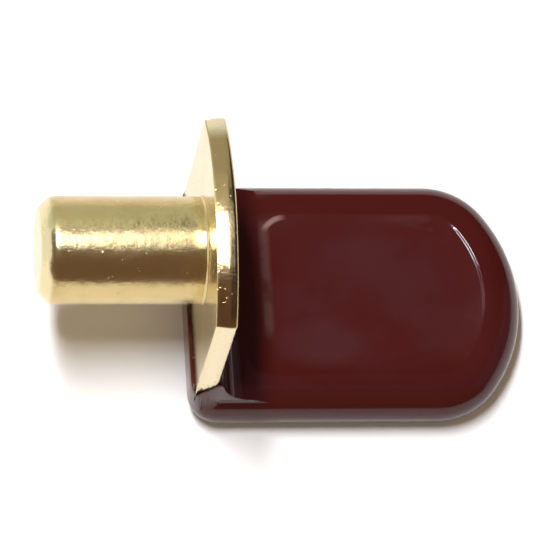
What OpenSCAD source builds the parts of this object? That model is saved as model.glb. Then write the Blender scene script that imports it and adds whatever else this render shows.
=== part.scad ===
// Shelf support pin: a turned pin riveted through a bent strip bracket, with a soft vinyl
// sleeve over the leg that carries the shelf.
// Millimetres, +Z up. The origin is the centre of the pin where it meets the bracket's outer
// face. The pin runs along -X into the cabinet side, the leg and its sleeve along +X.

/* [Pin] */
// Diameter of the pin, for the hole in the cabinet side
pin_d = 5.0; // [4:0.1:7]
// Length of the pin in front of the bracket's outer face
pin_len = 7.6; // [5:0.1:12]
// Length of the lead-in chamfer at the free end, along the pin
lead_in_len = 0.5; // [0.3:0.1:1.2]
// Depth of the lead-in chamfer, across the pin
lead_in_depth = 0.55; // [0.2:0.05:1]
// Diameter of the tenon that passes through the bracket
tenon_d = 3.2; // [2:0.1:3.8]
// Diameter of the rivet head formed on the tenon
rivet_head_d = 4.4; // [4:0.1:5]
// Height of the rivet head above the bracket's inner face
rivet_head_h = 0.4; // [0.2:0.05:0.8]
// Gap around the tenon in its hole
rivet_gap = 0.02; // [0.01:0.01:0.1]

/* [Bracket] */
// Width of the strip
strip_w = 10.5; // [9:0.1:13]
// Thickness of the strip
strip_t = 1.0; // [0.8:0.1:1.5]
// Inside radius of the bend
bend_r = 0.5; // [0.3:0.1:1]
// Height of the flange's straight sides above the pin's axis
shoulder_h = 3.2; // [2.5:0.1:5]
// Height of the rounded crown above the straight sides
crown_h = 1.9; // [1:0.1:4]
// Drop from the pin's axis to the top of the leg
leg_drop = 5.8; // [4.8:0.1:9]
// Reach of the leg from the flange's outer face to its tip
leg_reach = 15.3; // [12:0.1:22]
// Radius of the leg's rounded tip
tip_r = 6.85; // [6.7:0.05:8]
// Radius where the tip runs into the leg's sides
tip_corner_r = 2.85; // [2:0.05:3.5]

/* [Sleeve] */
// Vinyl thickness at the leg's sides and tip
side_wall = 0.7; // [0.5:0.05:1.2]
// Vinyl thickness above and below the leg
face_wall = 0.8; // [0.5:0.05:1.2]
// Vinyl thickness on the flange's foot
foot_skin = 0.2; // [0.15:0.05:0.5]
// Height of the vinyl on the flange's outer face, above the sleeve's top
foot_rise = 0.15; // [0:0.05:0.6]
// Radius of the vinyl's fillet between the sleeve's top and the flange
foot_fillet = 1.55; // [0.8:0.05:2]
// Extra radius of the sleeve's corners at the heel, beyond the radius of its round edge
heel_round = 0.12; // [0.1:0.02:0.2]
// Gap between the vinyl and the strip that it grips
grip_gap = 0.02; // [0.01:0.01:0.1]
// Depth of the dish in the sleeve's top
dish_depth = 0.25; // [0.1:0.05:0.4]
// Width of the border between the sleeve's outline and the dish
dish_border = 1.95; // [1.8:0.05:3]
// Distance from the flange's outer face to the dish
dish_start = 3.7; // [3.4:0.1:5]
// Radius of the dish's two corners near the flange
dish_corner_r = 1.5; // [0.8:0.1:2.5]

/* [Hidden] */
$fn = 96;

// The heel is the bend's centre line, seen from the side.
bend_out = bend_r + strip_t;
heel_x = bend_out;
heel_z = bend_r - leg_drop;

// The sleeve wraps the leg, so its outline and its height follow from the leg's.
sleeve_t = strip_t + 2 * face_wall;
sleeve_mid_z = -leg_drop - strip_t / 2;
sleeve_top_z = sleeve_mid_z + sleeve_t / 2;
sleeve_edge_r = sleeve_t / 2;
sleeve_heel_r = sleeve_edge_r + heel_round;
sleeve_half_w = strip_w / 2 + side_wall;
sleeve_tip_x = leg_reach + side_wall;
sleeve_tip_r = tip_r + side_wall;
sleeve_corner_r = tip_corner_r + side_wall;

// The fillet stays clear of the rivet head above it.
fillet_r = min(foot_fillet, -sleeve_top_z - rivet_head_d / 2 - 0.3);
fillet_x = strip_t + foot_skin;

// Where a tongue's corner arc sits: its centre is inside both the side and the tip arc.
function corner_y(half_w, corner_r) = half_w - corner_r;
function corner_x(half_w, tip_x, tip_rad, corner_r) = tip_x - tip_rad
    + sqrt(pow(tip_rad - corner_r, 2) - pow(corner_y(half_w, corner_r), 2));

// Flat tongue from x0 to its rounded tip: straight sides, two corner arcs and one wide tip arc.
module tongue(x0, half_w, tip_x, tip_rad, corner_r, back_r = 0) {
    cy = corner_y(half_w, corner_r);
    cx = corner_x(half_w, tip_x, tip_rad, corner_r);
    tip_cx = tip_x - tip_rad;
    reach = 2 * tip_rad;
    translate([x0 + back_r, -half_w]) square([cx - x0 - back_r, 2 * half_w]);
    for (side = [-1, 1]) translate([cx, side * cy]) circle(r = corner_r);
    intersection() {
        translate([tip_cx, 0]) circle(r = tip_rad);
        polygon([
            [tip_cx, 0],
            [tip_cx + reach * (cx - tip_cx), -reach * cy],
            [tip_cx + reach * (cx - tip_cx), reach * cy],
        ]);
    }
    if (back_r > 0) {
        translate([x0, -half_w + back_r]) square([back_r, 2 * (half_w - back_r)]);
        for (side = [-1, 1]) translate([x0 + back_r, side * (half_w - back_r)]) circle(r = back_r);
    }
}

// Arc of a round edge about Z, from one angle to another, filled to its axis.
module edge_arc(core, edge_r, from, to) {
    rotate([0, 0, from]) rotate_extrude(angle = to - from, $fn = 64) intersection() {
        translate([core, 0]) circle(r = edge_r, $fn = 40);
        translate([0, -edge_r]) square([core + edge_r, 2 * edge_r]);
    }
}

// Tongue with a fully round edge all the way along its outline, centred on z = 0.
module pillow(x0, half_w, tip_x, tip_rad, corner_r, back_r, edge_r) {
    cy = corner_y(half_w, corner_r);
    cx = corner_x(half_w, tip_x, tip_rad, corner_r);
    tip_cx = tip_x - tip_rad;
    tip_angle = atan2(cy, cx - tip_cx);
    hull() {
        for (side = [0, 1]) mirror([0, side, 0]) {
            translate([x0 + back_r, half_w - back_r, 0])
                edge_arc(back_r - edge_r, edge_r, 90, 180);
            translate([cx, cy, 0]) edge_arc(corner_r - edge_r, edge_r, tip_angle, 90);
        }
        translate([tip_cx, 0, 0]) edge_arc(tip_rad - edge_r, edge_r, -tip_angle, tip_angle);
    }
}

// Upright flange, seen along X: straight sides under a shallow round crown.
module flange_outline(grow) {
    half_w = strip_w / 2;
    crown_r = (half_w * half_w + crown_h * crown_h) / (2 * crown_h);
    intersection() {
        translate([-half_w - grow, heel_z])
            square([strip_w + 2 * grow, shoulder_h + crown_h + grow - heel_z]);
        translate([0, shoulder_h + crown_h - crown_r]) circle(r = crown_r + grow, $fn = 256);
    }
}

// Bent strip with every face moved outwards by grow.
module strip_form(grow = 0) {
    translate([-grow, 0, 0]) rotate([90, 0, 90])
        linear_extrude(height = strip_t + 2 * grow) flange_outline(grow);
    translate([heel_x, 0, heel_z]) rotate([90, 0, 0]) rotate([0, 0, 180])
        rotate_extrude(angle = 90)
            translate([bend_r - grow, -strip_w / 2 - grow])
                square([strip_t + 2 * grow, strip_w + 2 * grow]);
    translate([0, 0, -leg_drop - strip_t - grow]) linear_extrude(height = strip_t + 2 * grow)
        tongue(heel_x, strip_w / 2 + grow, leg_reach + grow, tip_r + grow, tip_corner_r + grow);
}

// Vinyl on the flange's foot, seen along Y: it rises across the strip's edge to the fillet.
module foot_profile() {
    outer_z = sleeve_top_z + foot_rise;
    inner_z = sleeve_top_z + fillet_r;
    difference() {
        polygon([
            [-foot_skin, sleeve_mid_z],
            [-foot_skin, outer_z],
            [0, outer_z],
            [strip_t, inner_z],
            [fillet_x, inner_z],
            [fillet_x + fillet_r, sleeve_top_z],
            [fillet_x + fillet_r, sleeve_mid_z],
        ]);
        translate([fillet_x + fillet_r, inner_z]) circle(r = fillet_r);
    }
}

module foot() {
    half_w = strip_w / 2 + foot_skin;
    intersection() {
        translate([0, half_w, 0]) rotate([90, 0, 0])
            linear_extrude(height = 2 * half_w) foot_profile();
        translate([0, 0, sleeve_mid_z]) linear_extrude(height = fillet_r + sleeve_t)
            tongue(-foot_skin, sleeve_half_w, sleeve_tip_x, sleeve_tip_r, sleeve_corner_r,
                sleeve_heel_r);
    }
}

module dish() {
    translate([0, 0, sleeve_top_z - dish_depth]) linear_extrude(height = sleeve_t)
        tongue(dish_start, sleeve_half_w - dish_border, sleeve_tip_x - dish_border,
            sleeve_tip_r - dish_border, sleeve_corner_r - dish_border, dish_corner_r);
}

module pin() {
    r = pin_d / 2;
    head_r = rivet_head_d / 2;
    color("goldenrod") rotate([0, 90, 0]) rotate_extrude() polygon([
        [0, -pin_len],
        [r - lead_in_depth, -pin_len],
        [r, lead_in_len - pin_len],
        [r, 0],
        [tenon_d / 2, 0],
        [tenon_d / 2, strip_t],
        [head_r, strip_t],
        [head_r - rivet_head_h / 2, strip_t + rivet_head_h],
        [0, strip_t + rivet_head_h],
    ]);
}

module bracket() {
    color("gold") difference() {
        strip_form();
        translate([-1, 0, 0]) rotate([0, 90, 0])
            cylinder(d = tenon_d + 2 * rivet_gap, h = strip_t + 2);
    }
}

module sleeve() {
    color("maroon") difference() {
        union() {
            translate([0, 0, sleeve_mid_z])
                pillow(-foot_skin, sleeve_half_w, sleeve_tip_x, sleeve_tip_r, sleeve_corner_r,
                    sleeve_heel_r, sleeve_edge_r);
            foot();
        }
        strip_form(grip_gap);
        dish();
    }
}

pin();
bracket();
sleeve();
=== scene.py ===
"""Shelf support pin: a turned pin, a bent strip bracket and a vinyl sleeve, on a pale floor."""
import logging
import math
from dataclasses import dataclass, field
from enum import Enum
from typing import Any

import bmesh
import bpy
import numpy as np
from mathutils import Matrix, Vector


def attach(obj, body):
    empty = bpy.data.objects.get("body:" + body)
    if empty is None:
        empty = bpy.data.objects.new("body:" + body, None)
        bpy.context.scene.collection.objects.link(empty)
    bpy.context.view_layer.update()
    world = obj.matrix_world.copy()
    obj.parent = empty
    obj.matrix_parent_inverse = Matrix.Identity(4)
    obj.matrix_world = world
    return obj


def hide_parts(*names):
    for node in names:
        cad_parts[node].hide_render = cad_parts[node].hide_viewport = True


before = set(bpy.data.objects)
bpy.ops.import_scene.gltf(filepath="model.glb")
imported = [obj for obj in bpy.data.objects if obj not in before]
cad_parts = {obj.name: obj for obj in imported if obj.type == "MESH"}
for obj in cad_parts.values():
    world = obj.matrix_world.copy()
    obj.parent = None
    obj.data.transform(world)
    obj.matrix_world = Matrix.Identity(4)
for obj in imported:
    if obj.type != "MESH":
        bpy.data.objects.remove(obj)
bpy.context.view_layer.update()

LOG = logging.getLogger("shelf_support")

MM = 0.001
SMOOTH_LIMIT = math.radians(38.0)
MERGE_WITHIN = 2e-7
SLIVER_LENGTH = 1e-8
TINY = 1e-6
SEEN_BY = ("Is Camera Ray", "Is Glossy Ray", "Is Transmission Ray")

Array = np.ndarray
Colour = tuple[float, float, float]
Point = tuple[float, float, float]
Pair = tuple[float, float]
Range = tuple[float, float]
Band = tuple[float, float, float, float]
Ease = tuple[float, float, float, float]  # A pattern's two limits, and its value at each


# ---------------------------------------------------------------------------------------------
# Curves and surfaces. Every length in this part is in millimetres.
# ---------------------------------------------------------------------------------------------


def arc(centre: Array, radius: Array, start: float, end: float, count: int) -> Array:
    """Points on an arc: the centre plus the radius times the cosine and sine of even angles.

    Args:
        centre: The arc's centre, one pair for all radii.
        radius: One radius for each loop, as a column.
        start: First angle in radians.
        end: Last angle in radians.
        count: Points on each arc.

    Returns:
        An array of loops by points by two coordinates.
    """
    angle = np.linspace(start, end, count)[None, :]
    x = centre[0] + radius * np.cos(angle)
    y = centre[1] + radius * np.sin(angle)
    return np.stack(np.broadcast_arrays(x, y), axis=-1)


def span(x: Array, y: Array) -> Array:
    """Points of a straight stretch, from coordinates that broadcast to loops by points."""
    return np.stack(np.broadcast_arrays(x, y), axis=-1)


def crowded(count: int, power: float) -> Array:
    """Fractions from 0 to 1 that crowd towards 0: even steps raised to a power."""
    return np.linspace(0.0, 1.0, count) ** power


def mirrored(half: Array) -> Array:
    """Closes half loops, which run from the axis to the axis, with their mirror image in y.

    Args:
        half: Loops by points by two, whose first and last points have y = 0.

    Returns:
        The closed loops, without a repeated point.
    """
    other = half[:, -2:0:-1].copy()
    other[..., 1] *= -1.0
    return np.concatenate([half, other], axis=1)


def rounded_path(points: Array, radii: Array, steps: int) -> Array:
    """A polyline with each inner corner replaced by the arc that touches both its legs.

    The arc's ends lie radius / tan(half the corner's angle) along the legs, and its points turn
    evenly about its centre from the first end to the second.

    Args:
        points: Corners of the polyline, n by 2.
        radii: Radius at each inner corner, n - 2 long.
        steps: Points on each arc.

    Returns:
        The rounded path, m by 2.
    """
    before, corner, after = points[:-2], points[1:-1], points[2:]
    u = (before - corner) / np.linalg.norm(before - corner, axis=1, keepdims=True)
    v = (after - corner) / np.linalg.norm(after - corner, axis=1, keepdims=True)
    half = 0.5 * np.arccos(np.clip(np.sum(u * v, axis=1), -1.0, 1.0))[:, None]
    radius = radii[:, None]
    first = corner + u * radius / np.tan(half)
    last = corner + v * radius / np.tan(half)
    middle = (u + v) / np.linalg.norm(u + v, axis=1, keepdims=True)
    centre = corner + middle * radius / np.sin(half)
    turn = np.pi - 2.0 * half
    t = np.linspace(0.0, 1.0, steps)[None, :, None]
    turn = turn[:, None, :]
    arcs = centre[:, None] + (
        np.sin((1.0 - t) * turn) * (first - centre)[:, None]
        + np.sin(t * turn) * (last - centre)[:, None]
    ) / np.sin(turn)
    return np.concatenate([points[:1], arcs.reshape(-1, 2), points[-1:]])


def refined(path: Array, step: float) -> Array:
    """The path with more points, so that no two are further apart than a step.

    Args:
        path: Points, n by 2.
        step: Largest spacing along the path.

    Returns:
        The original points and the new ones in order along the path.
    """
    length = np.concatenate([[0.0], np.cumsum(np.linalg.norm(np.diff(path, axis=0), axis=1))])
    even = np.linspace(0.0, length[-1], int(math.ceil(length[-1] / step)) + 1)
    close = np.abs(even[:, None] - length[None, :]).min(axis=1) < 0.3 * step
    places = np.sort(np.concatenate([length, even[~close]]))
    return np.stack([np.interp(places, length, path[:, i]) for i in (0, 1)], 1)


def soft_min(a: Array, b: Array, width: float) -> Array:
    """The smaller of two heights, with the crease between them rounded over a width."""
    blend = np.maximum(width - np.abs(a - b), 0.0) / width
    return np.minimum(a, b) - 0.25 * width * blend**2


def soft_max(a: Array, b: Array, width: float) -> Array:
    """The larger of two heights, with the crease between them rounded over a width."""
    return -soft_min(-a, -b, width)


def smooth_step(x: Array) -> Array:
    """0 below 0, 1 above 1, and a cubic with level ends between."""
    t = np.clip(x, 0.0, 1.0)
    return t * t * (3.0 - 2.0 * t)


def ring_quads(count: int, around: int, first: int) -> Array:
    """Faces between neighbouring rings: two neighbours on one ring and the same two on the next.

    Args:
        count: Number of rings.
        around: Points on each ring.
        first: Index of the first ring's first point.

    Returns:
        Four indices for each face.
    """
    ring, i = np.meshgrid(np.arange(count - 1), np.arange(around), indexing="ij")
    j = (i + 1) % around
    base = first + ring * around
    return np.stack([base + i, base + j, base + around + j, base + around + i], -1).reshape(-1, 4)


def closed_surface(name: str, rings: Array, first: Array, last: Array) -> bpy.types.Object:
    """A closed mesh through rings of points, with one point at each end.

    Args:
        name: Name of the new object and its mesh.
        rings: Rings by points by three, in millimetres.
        first: The pole before the first ring.
        last: The pole after the last ring.

    Returns:
        The object, in metres, smooth-shaded with its faces outwards.
    """
    count, around = rings.shape[:2]
    points = np.concatenate([first[None], rings.reshape(-1, 3), last[None]]) * MM
    quads = ring_quads(count, around, 1)
    a = np.arange(around)
    b = (a + 1) % around
    top = 1 + (count - 1) * around
    fans = np.concatenate(
        [
            np.stack([np.zeros_like(a), 1 + b, 1 + a], -1),
            np.stack([np.full_like(a, len(points) - 1), top + a, top + b], -1),
        ]
    )
    mesh = bpy.data.meshes.new(name)
    mesh.from_pydata(points.tolist(), [], quads.tolist() + fans.tolist())
    return finished(name, mesh)


def ring_surface(name: str, rings: Array) -> bpy.types.Object:
    """A closed mesh through rings whose first and last have folded flat onto a line.

    Args:
        name: Name of the object.
        rings: Rings by points by three, in millimetres.

    Returns:
        The object in metres, its folded ends merged.
    """
    mesh = bpy.data.meshes.new(name)
    quads = ring_quads(*rings.shape[:2], 0)
    mesh.from_pydata((rings.reshape(-1, 3) * MM).tolist(), [], quads.tolist())
    return finished(name, mesh)


def turned_surface(name: str, path: Array, around: int) -> bpy.types.Object:
    """A closed mesh turned about the x axis: each point goes round a full circle in y and z.

    Args:
        name: Name of the object.
        path: Pairs of x and radius in millimetres, of which the first and last lie on the axis.
        around: Points on each circle.

    Returns:
        The object in metres.
    """
    turn = np.linspace(0.0, 2.0 * np.pi, around, endpoint=False)[None, :]
    x, r = path[1:-1, :1], path[1:-1, 1:]
    rings = np.stack(np.broadcast_arrays(x, r * np.cos(turn), r * np.sin(turn)), -1)
    ends = [np.array([path[i, 0], 0.0, 0.0]) for i in (0, -1)]
    return closed_surface(name, rings, *ends)


def placed(name: str, data: Any) -> bpy.types.Object:
    """Puts a new object in the scene.

    Args:
        name: Name of the object.
        data: Its mesh, lamp or camera.

    Returns:
        The object, at the origin.
    """
    made = bpy.data.objects.new(name, data)
    bpy.context.scene.collection.objects.link(made)
    return made


def finished(name: str, mesh: bpy.types.Mesh) -> bpy.types.Object:
    """Merges a new mesh's doubles, turns its faces outwards and puts it in the scene.

    Args:
        name: Name of the object.
        mesh: The mesh, in metres.

    Returns:
        The linked object at the origin.
    """
    work = bmesh.new()
    work.from_mesh(mesh)
    bmesh.ops.remove_doubles(work, verts=work.verts, dist=MERGE_WITHIN)
    bmesh.ops.dissolve_degenerate(work, edges=work.edges, dist=SLIVER_LENGTH)
    bmesh.ops.recalc_face_normals(work, faces=work.faces)
    work.to_mesh(mesh)
    work.free()
    mesh.shade_smooth()
    mesh.set_sharp_from_angle(angle=SMOOTH_LIMIT)
    return placed(name, mesh)


def cut_away(piece: bpy.types.Object, tool: bpy.types.Object) -> None:
    """Subtracts a tool from a piece for good, and deletes the tool.

    Args:
        piece: The object that is cut.
        tool: A closed object whose volume is taken away.
    """
    cut = piece.modifiers.new("cut", "BOOLEAN")
    cut.operation = "DIFFERENCE"
    cut.solver = "EXACT"
    cut.object = tool
    result = bpy.data.meshes.new_from_object(
        piece.evaluated_get(bpy.context.evaluated_depsgraph_get())
    )
    piece.modifiers.clear()
    old = piece.data
    piece.data = result
    result.name = old.name
    bpy.data.meshes.remove(old)
    spent = tool.data
    bpy.data.objects.remove(tool)
    bpy.data.meshes.remove(spent)
    result.set_sharp_from_angle(angle=SMOOTH_LIMIT)


@dataclass(frozen=True)
class Noise:
    """A cloudy pattern: its cells per millimetre, its layers of detail and their strength."""

    scale: float
    detail: float
    rough: float


class Graph:
    """A material's node tree, with one method that adds any node to it."""

    def __init__(self, name: str) -> None:
        """Starts an empty material of that name."""
        self.material = bpy.data.materials.new(name)
        self.material.use_nodes = True
        self.tree = self.material.node_tree
        self.tree.nodes.clear()

    def node(self, kind: str, settings: dict[str, Any] | None = None, **inputs: Any) -> Any:
        """Adds a node, sets its settings, then its inputs.

        Args:
            kind: The node's type, such as ShaderNodeBump.
            settings: Properties that are set before the inputs.
            **inputs: Values or wires by socket name, with _ for a space.

        Returns:
            The new node.
        """
        made = self.tree.nodes.new(kind)
        for name, value in (settings or {}).items():
            setattr(made, name, value)
        for name, value in inputs.items():
            self.feed(made.inputs[name.replace("_", " ")], value)
        return made

    def feed(self, socket: Any, value: Any) -> None:
        """Links a wire to a socket, or sets the socket to a constant.

        Args:
            socket: The input that is fed.
            value: A wire, a number, a vector or a colour.
        """
        if isinstance(value, Wire):
            self.tree.links.new(value.socket, socket)
        elif socket.type == "RGBA" and len(value) == 3:
            socket.default_value = (*value, 1.0)
        else:
            socket.default_value = value

    def math(self, operation: str, *values: "Wire | float") -> "Wire":
        """One Math node over numbers and wires.

        Args:
            operation: The node's operation.
            *values: Its inputs in order.

        Returns:
            The result.
        """
        made = self.node("ShaderNodeMath", {"operation": operation})
        for socket, value in zip(made.inputs, values):
            self.feed(socket, value)
        return Wire(self, made.outputs[0])

    def vector(self, operation: str, *values: Any) -> "Wire":
        """One Vector Math node over vectors and wires.

        Args:
            operation: The node's operation.
            *values: Its inputs in order.

        Returns:
            The result.
        """
        made = self.node("ShaderNodeVectorMath", {"operation": operation})
        for socket, value in zip(made.inputs, values):
            self.feed(socket, value)
        return Wire(self, made.outputs[0])

    def place(self) -> "Wire":
        """The point on the piece, in millimetres.

        Returns:
            The object coordinates, scaled up from metres.
        """
        coordinate = self.node("ShaderNodeTexCoord")
        on_piece = Wire(self, coordinate.outputs["Object"])
        scaled = self.node(
            "ShaderNodeVectorMath", {"operation": "SCALE"}, Vector=on_piece, Scale=1.0 / MM
        )
        return Wire(self, scaled.outputs[0])

    def stretched(self, point: "Wire", scale: Point) -> "Wire":
        """The point stretched by a factor along each axis."""
        return self.vector("MULTIPLY", point, scale)

    def parts(self, point: "Wire") -> tuple["Wire", "Wire", "Wire"]:
        """The x, y and z of a vector wire."""
        made = self.node("ShaderNodeSeparateXYZ", Vector=point)
        return tuple(Wire(self, out) for out in made.outputs)

    def noise(self, point: "Wire", kind: Noise) -> "Wire":
        """A cloudy pattern from 0 to 1 over the point.

        Args:
            point: Where the pattern is read.
            kind: Its scale, detail and roughness.

        Returns:
            The pattern.
        """
        made = self.node(
            "ShaderNodeTexNoise",
            {"noise_dimensions": "3D"},
            Vector=point,
            Scale=kind.scale,
            Detail=kind.detail,
            Roughness=kind.rough,
        )
        return Wire(self, made.outputs["Fac"])

    def ramp(
        self, value: "Wire", low: float, high: float, out_low: float, out_high: float
    ) -> "Wire":
        """The value eased from one range to another, held at the ends.

        Args:
            value: What is eased.
            low: Where it starts to change.
            high: Where it stops.
            out_low: The result below the low value.
            out_high: The result above the high value.

        Returns:
            The eased value.
        """
        made = self.node(
            "ShaderNodeMapRange",
            {"interpolation_type": "SMOOTHSTEP"},
            Value=value,
            From_Min=low,
            From_Max=high,
            To_Min=out_low,
            To_Max=out_high,
        )
        return Wire(self, made.outputs[0])

    def rise(self, value: "Wire", low: float, high: float) -> "Wire":
        """0 below the low value, 1 above the high one, and eased between."""
        return self.ramp(value, low, high, 0.0, 1.0)

    def fall(self, value: "Wire", low: float, high: float) -> "Wire":
        """1 below the low value, 0 above the high one, and eased between."""
        return self.ramp(value, low, high, 1.0, 0.0)

    def band(self, value: "Wire", limits: Band) -> "Wire":
        """Rises from 0 to 1 between the first two limits and falls between the last two."""
        return self.rise(value, *limits[:2]) * self.fall(value, *limits[2:])

    def mix(self, share: "Wire", low: Any, high: Any) -> "Wire":
        """A colour between two, on the Mix node's colour sockets.

        Args:
            share: From 0, the first colour, to 1, the second.
            low: The first colour, or a wire.
            high: The second colour, or a wire.

        Returns:
            The mixed colour.
        """
        made = self.node("ShaderNodeMix", {"data_type": "RGBA", "clamp_factor": True})
        self.feed(made.inputs[0], share)
        self.feed(made.inputs[6], low)
        self.feed(made.inputs[7], high)
        return Wire(self, made.outputs[2])

    def bump(self, height: "Wire") -> "Wire":
        """A surface normal from a height in millimetres."""
        made = self.node("ShaderNodeBump", Strength=1.0, Distance=MM, Height=height)
        return Wire(self, made.outputs["Normal"])

    def shown(self, shader: Any) -> bpy.types.Material:
        """Links a shader node to the tree's output and gives the material."""
        output = self.node("ShaderNodeOutputMaterial")
        self.tree.links.new(shader.outputs[0], output.inputs["Surface"])
        return self.material

    def close(self, **inputs: Any) -> bpy.types.Material:
        """Ends the tree in a Principled surface and gives the material."""
        return self.shown(self.node("ShaderNodeBsdfPrincipled", **inputs))


@dataclass(frozen=True)
class Wire:
    """A number or vector that flows between nodes, with arithmetic on it."""

    graph: Graph
    socket: Any

    def __add__(self, other: "Wire | float") -> "Wire":
        """This plus the other."""
        return self.graph.math("ADD", self, other)

    def __radd__(self, other: float) -> "Wire":
        """The other plus this."""
        return self.graph.math("ADD", other, self)

    def __sub__(self, other: "Wire | float") -> "Wire":
        """This less the other."""
        return self.graph.math("SUBTRACT", self, other)

    def __rsub__(self, other: float) -> "Wire":
        """The other less this."""
        return self.graph.math("SUBTRACT", other, self)

    def __mul__(self, other: "Wire | float") -> "Wire":
        """This times the other."""
        return self.graph.math("MULTIPLY", self, other)

    def __rmul__(self, other: float) -> "Wire":
        """The other times this."""
        return self.graph.math("MULTIPLY", other, self)

    def __truediv__(self, other: "Wire | float") -> "Wire":
        """This over the other."""
        return self.graph.math("DIVIDE", self, other)

    def __rtruediv__(self, other: float) -> "Wire":
        """The other over this."""
        return self.graph.math("DIVIDE", other, self)

    def __pow__(self, other: "Wire | float") -> "Wire":
        """This to the power of the other."""
        return self.graph.math("POWER", self, other)

    def __rpow__(self, other: float) -> "Wire":
        """The other to the power of this."""
        return self.graph.math("POWER", other, self)


class Grain(Enum):
    """The way in which a plated piece was worked before plating."""

    TURNED = "turned"
    ROLLED = "rolled"


@dataclass(frozen=True)
class Working:
    """What a way of working leaves on the metal: the marks' stretch, and pits above a level."""

    stretch: Point
    marks: Noise
    pits: Noise
    pit_level: Range


WORKINGS = {
    Grain.TURNED: Working(
        (7.0, 0.7, 0.7), Noise(1.0, 4.0, 0.7), Noise(2.6, 3.0, 0.6), (0.66, 0.74)
    ),
    Grain.ROLLED: Working(
        (1.2, 9.0, 1.2), Noise(1.0, 3.0, 0.6), Noise(3.4, 3.0, 0.6), (0.62, 0.72)
    ),
}


@dataclass(frozen=True)
class BrassPlate:
    """Bright brass plating on steel: warm, slightly clouded, with fine pits and working marks.

    A turned piece is paler on its end face, and a rolled strip on its outer face, down its two
    sides and over the crown's far shoulder: these are painted reflections of the bright floor and
    surroundings. Its cut crown is duller and more dented, with a dark torn band on its near half
    beside the inner face. Limits named for x, y or z are in millimetres on the part.
    """

    name: str
    grain: Grain
    bright: Colour = (0.66, 0.52, 0.25)
    dull: Colour = (0.58, 0.44, 0.20)
    sheared: Colour = (0.46, 0.32, 0.15)
    # pale: a painted reflection down the strip's sides and over the crown's far shoulder.
    pale: Colour = (0.82, 0.71, 0.47)
    torn: Colour = (0.24, 0.18, 0.09)
    # face: a painted reflection on the pin's end face and the strip's outer face.
    face: Colour = (0.78, 0.68, 0.40)
    roughness: float = 0.18
    cloud_rough: Ease = (0.35, 0.75, 0.0, 0.07)
    cloud_dull: Range = (0.3, 0.8)
    fine_rough: float = 0.04
    pit_rough: float = 0.10
    crown_gloss: float = 0.05
    wave_mm: float = 0.008
    pit_mm: float = 0.007
    mark_mm: float = 0.005
    dent_mm: float = 0.020
    flat_share: float = 0.2
    crown_share: float = 0.3
    clouds: Noise = Noise(0.55, 3.0, 0.55)
    fines: Noise = Noise(5.0, 4.0, 0.65)
    dents: Noise = Noise(2.2, 2.0, 0.6)
    waves: Noise = Noise(1.0, 1.0, 0.4)
    wave_stretch: Point = (0.8, 0.5, 0.5)
    # end_x and outer_x bound the painted reflection on the end and outer faces; side_y and far_y,
    # with crown_z, bound it on the sides and the crown's far shoulder.
    end_x: Range = (-7.2, -7.0)
    outer_x: Range = (0.005, 0.02)
    cut_x: Band = (0.04, 0.10, 0.84, 0.92)
    crown_z: Range = (3.0, 3.3)
    side_y: Range = (5.0, 5.2)
    far_y: Range = (3.6, 4.6)
    torn_x: Band = (0.58, 0.70, 0.88, 0.94)
    torn_y: Range = (0.2, 1.4)
    torn_z: Range = (3.3, 3.6)
    torn_breaks: Ease = (0.35, 0.55, 0.45, 1.0)

    def strip_tone(
        self, g: Graph, at: tuple[Wire, ...], crown: Wire, fine: Wire, base: Wire
    ) -> Wire:
        """The rolled strip's colour, by where a point lies on it.

        Args:
            g: The material's graph.
            at: The point's x, y and z.
            crown: 1 on the cut crown and 0 elsewhere.
            fine: The fine pattern, which breaks the torn band up.
            base: The plating's clouded colour.

        Returns:
            The colour.
        """
        x, y, z = at
        # Painted reflections: the outer face, the two sides and the crown's far shoulder are
        # paler.
        side = g.rise(g.math("ABSOLUTE", y), *self.side_y) * g.fall(z, *self.crown_z)
        side = side + g.rise(y, *self.far_y) * crown
        tone = g.mix(g.fall(x, *self.outer_x), base, self.face)
        tone = g.mix(side, g.mix(crown, tone, self.sheared), self.pale)
        torn = g.band(x, self.torn_x) * g.rise(z, *self.torn_z) * g.fall(y, *self.torn_y)
        return g.mix(torn * g.ramp(fine, *self.torn_breaks), tone, self.torn)

    def build(self) -> bpy.types.Material:
        """Makes the plating's material.

        Returns:
            The finished material.
        """
        g = Graph(self.name)
        point = g.place()
        x, y, z = g.parts(point)
        cloud, fine = g.noise(point, self.clouds), g.noise(point, self.fines)
        rough = self.roughness + g.ramp(cloud, *self.cloud_rough)
        rough = rough + fine * self.fine_rough
        tone = g.mix(g.rise(cloud, *self.cloud_dull), self.bright, self.dull)
        if self.grain is Grain.TURNED:
            dented = 1.0
            # Painted reflection: the end face is paler.
            tone = g.mix(g.fall(x, *self.end_x), tone, self.face)
        else:
            crown = g.band(x, self.cut_x) * g.rise(z, *self.crown_z)
            dented = crown * self.crown_share + self.flat_share
            rough = rough - crown * self.crown_gloss
            tone = self.strip_tone(g, (x, y, z), crown, fine, tone)
        work = WORKINGS[self.grain]
        pit = g.rise(g.noise(point, work.pits), *work.pit_level)
        height = g.noise(g.stretched(point, self.wave_stretch), self.waves) * self.wave_mm
        height = height + g.noise(g.stretched(point, work.stretch), work.marks) * self.mark_mm
        dent = g.noise(point, self.dents) * self.dent_mm
        height = height - pit * self.pit_mm + (fine * self.mark_mm + dent) * dented
        return g.close(
            Base_Color=tone,
            Metallic=1.0,
            Roughness=rough + pit * self.pit_rough,
            Normal=g.bump(height),
        )


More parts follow.
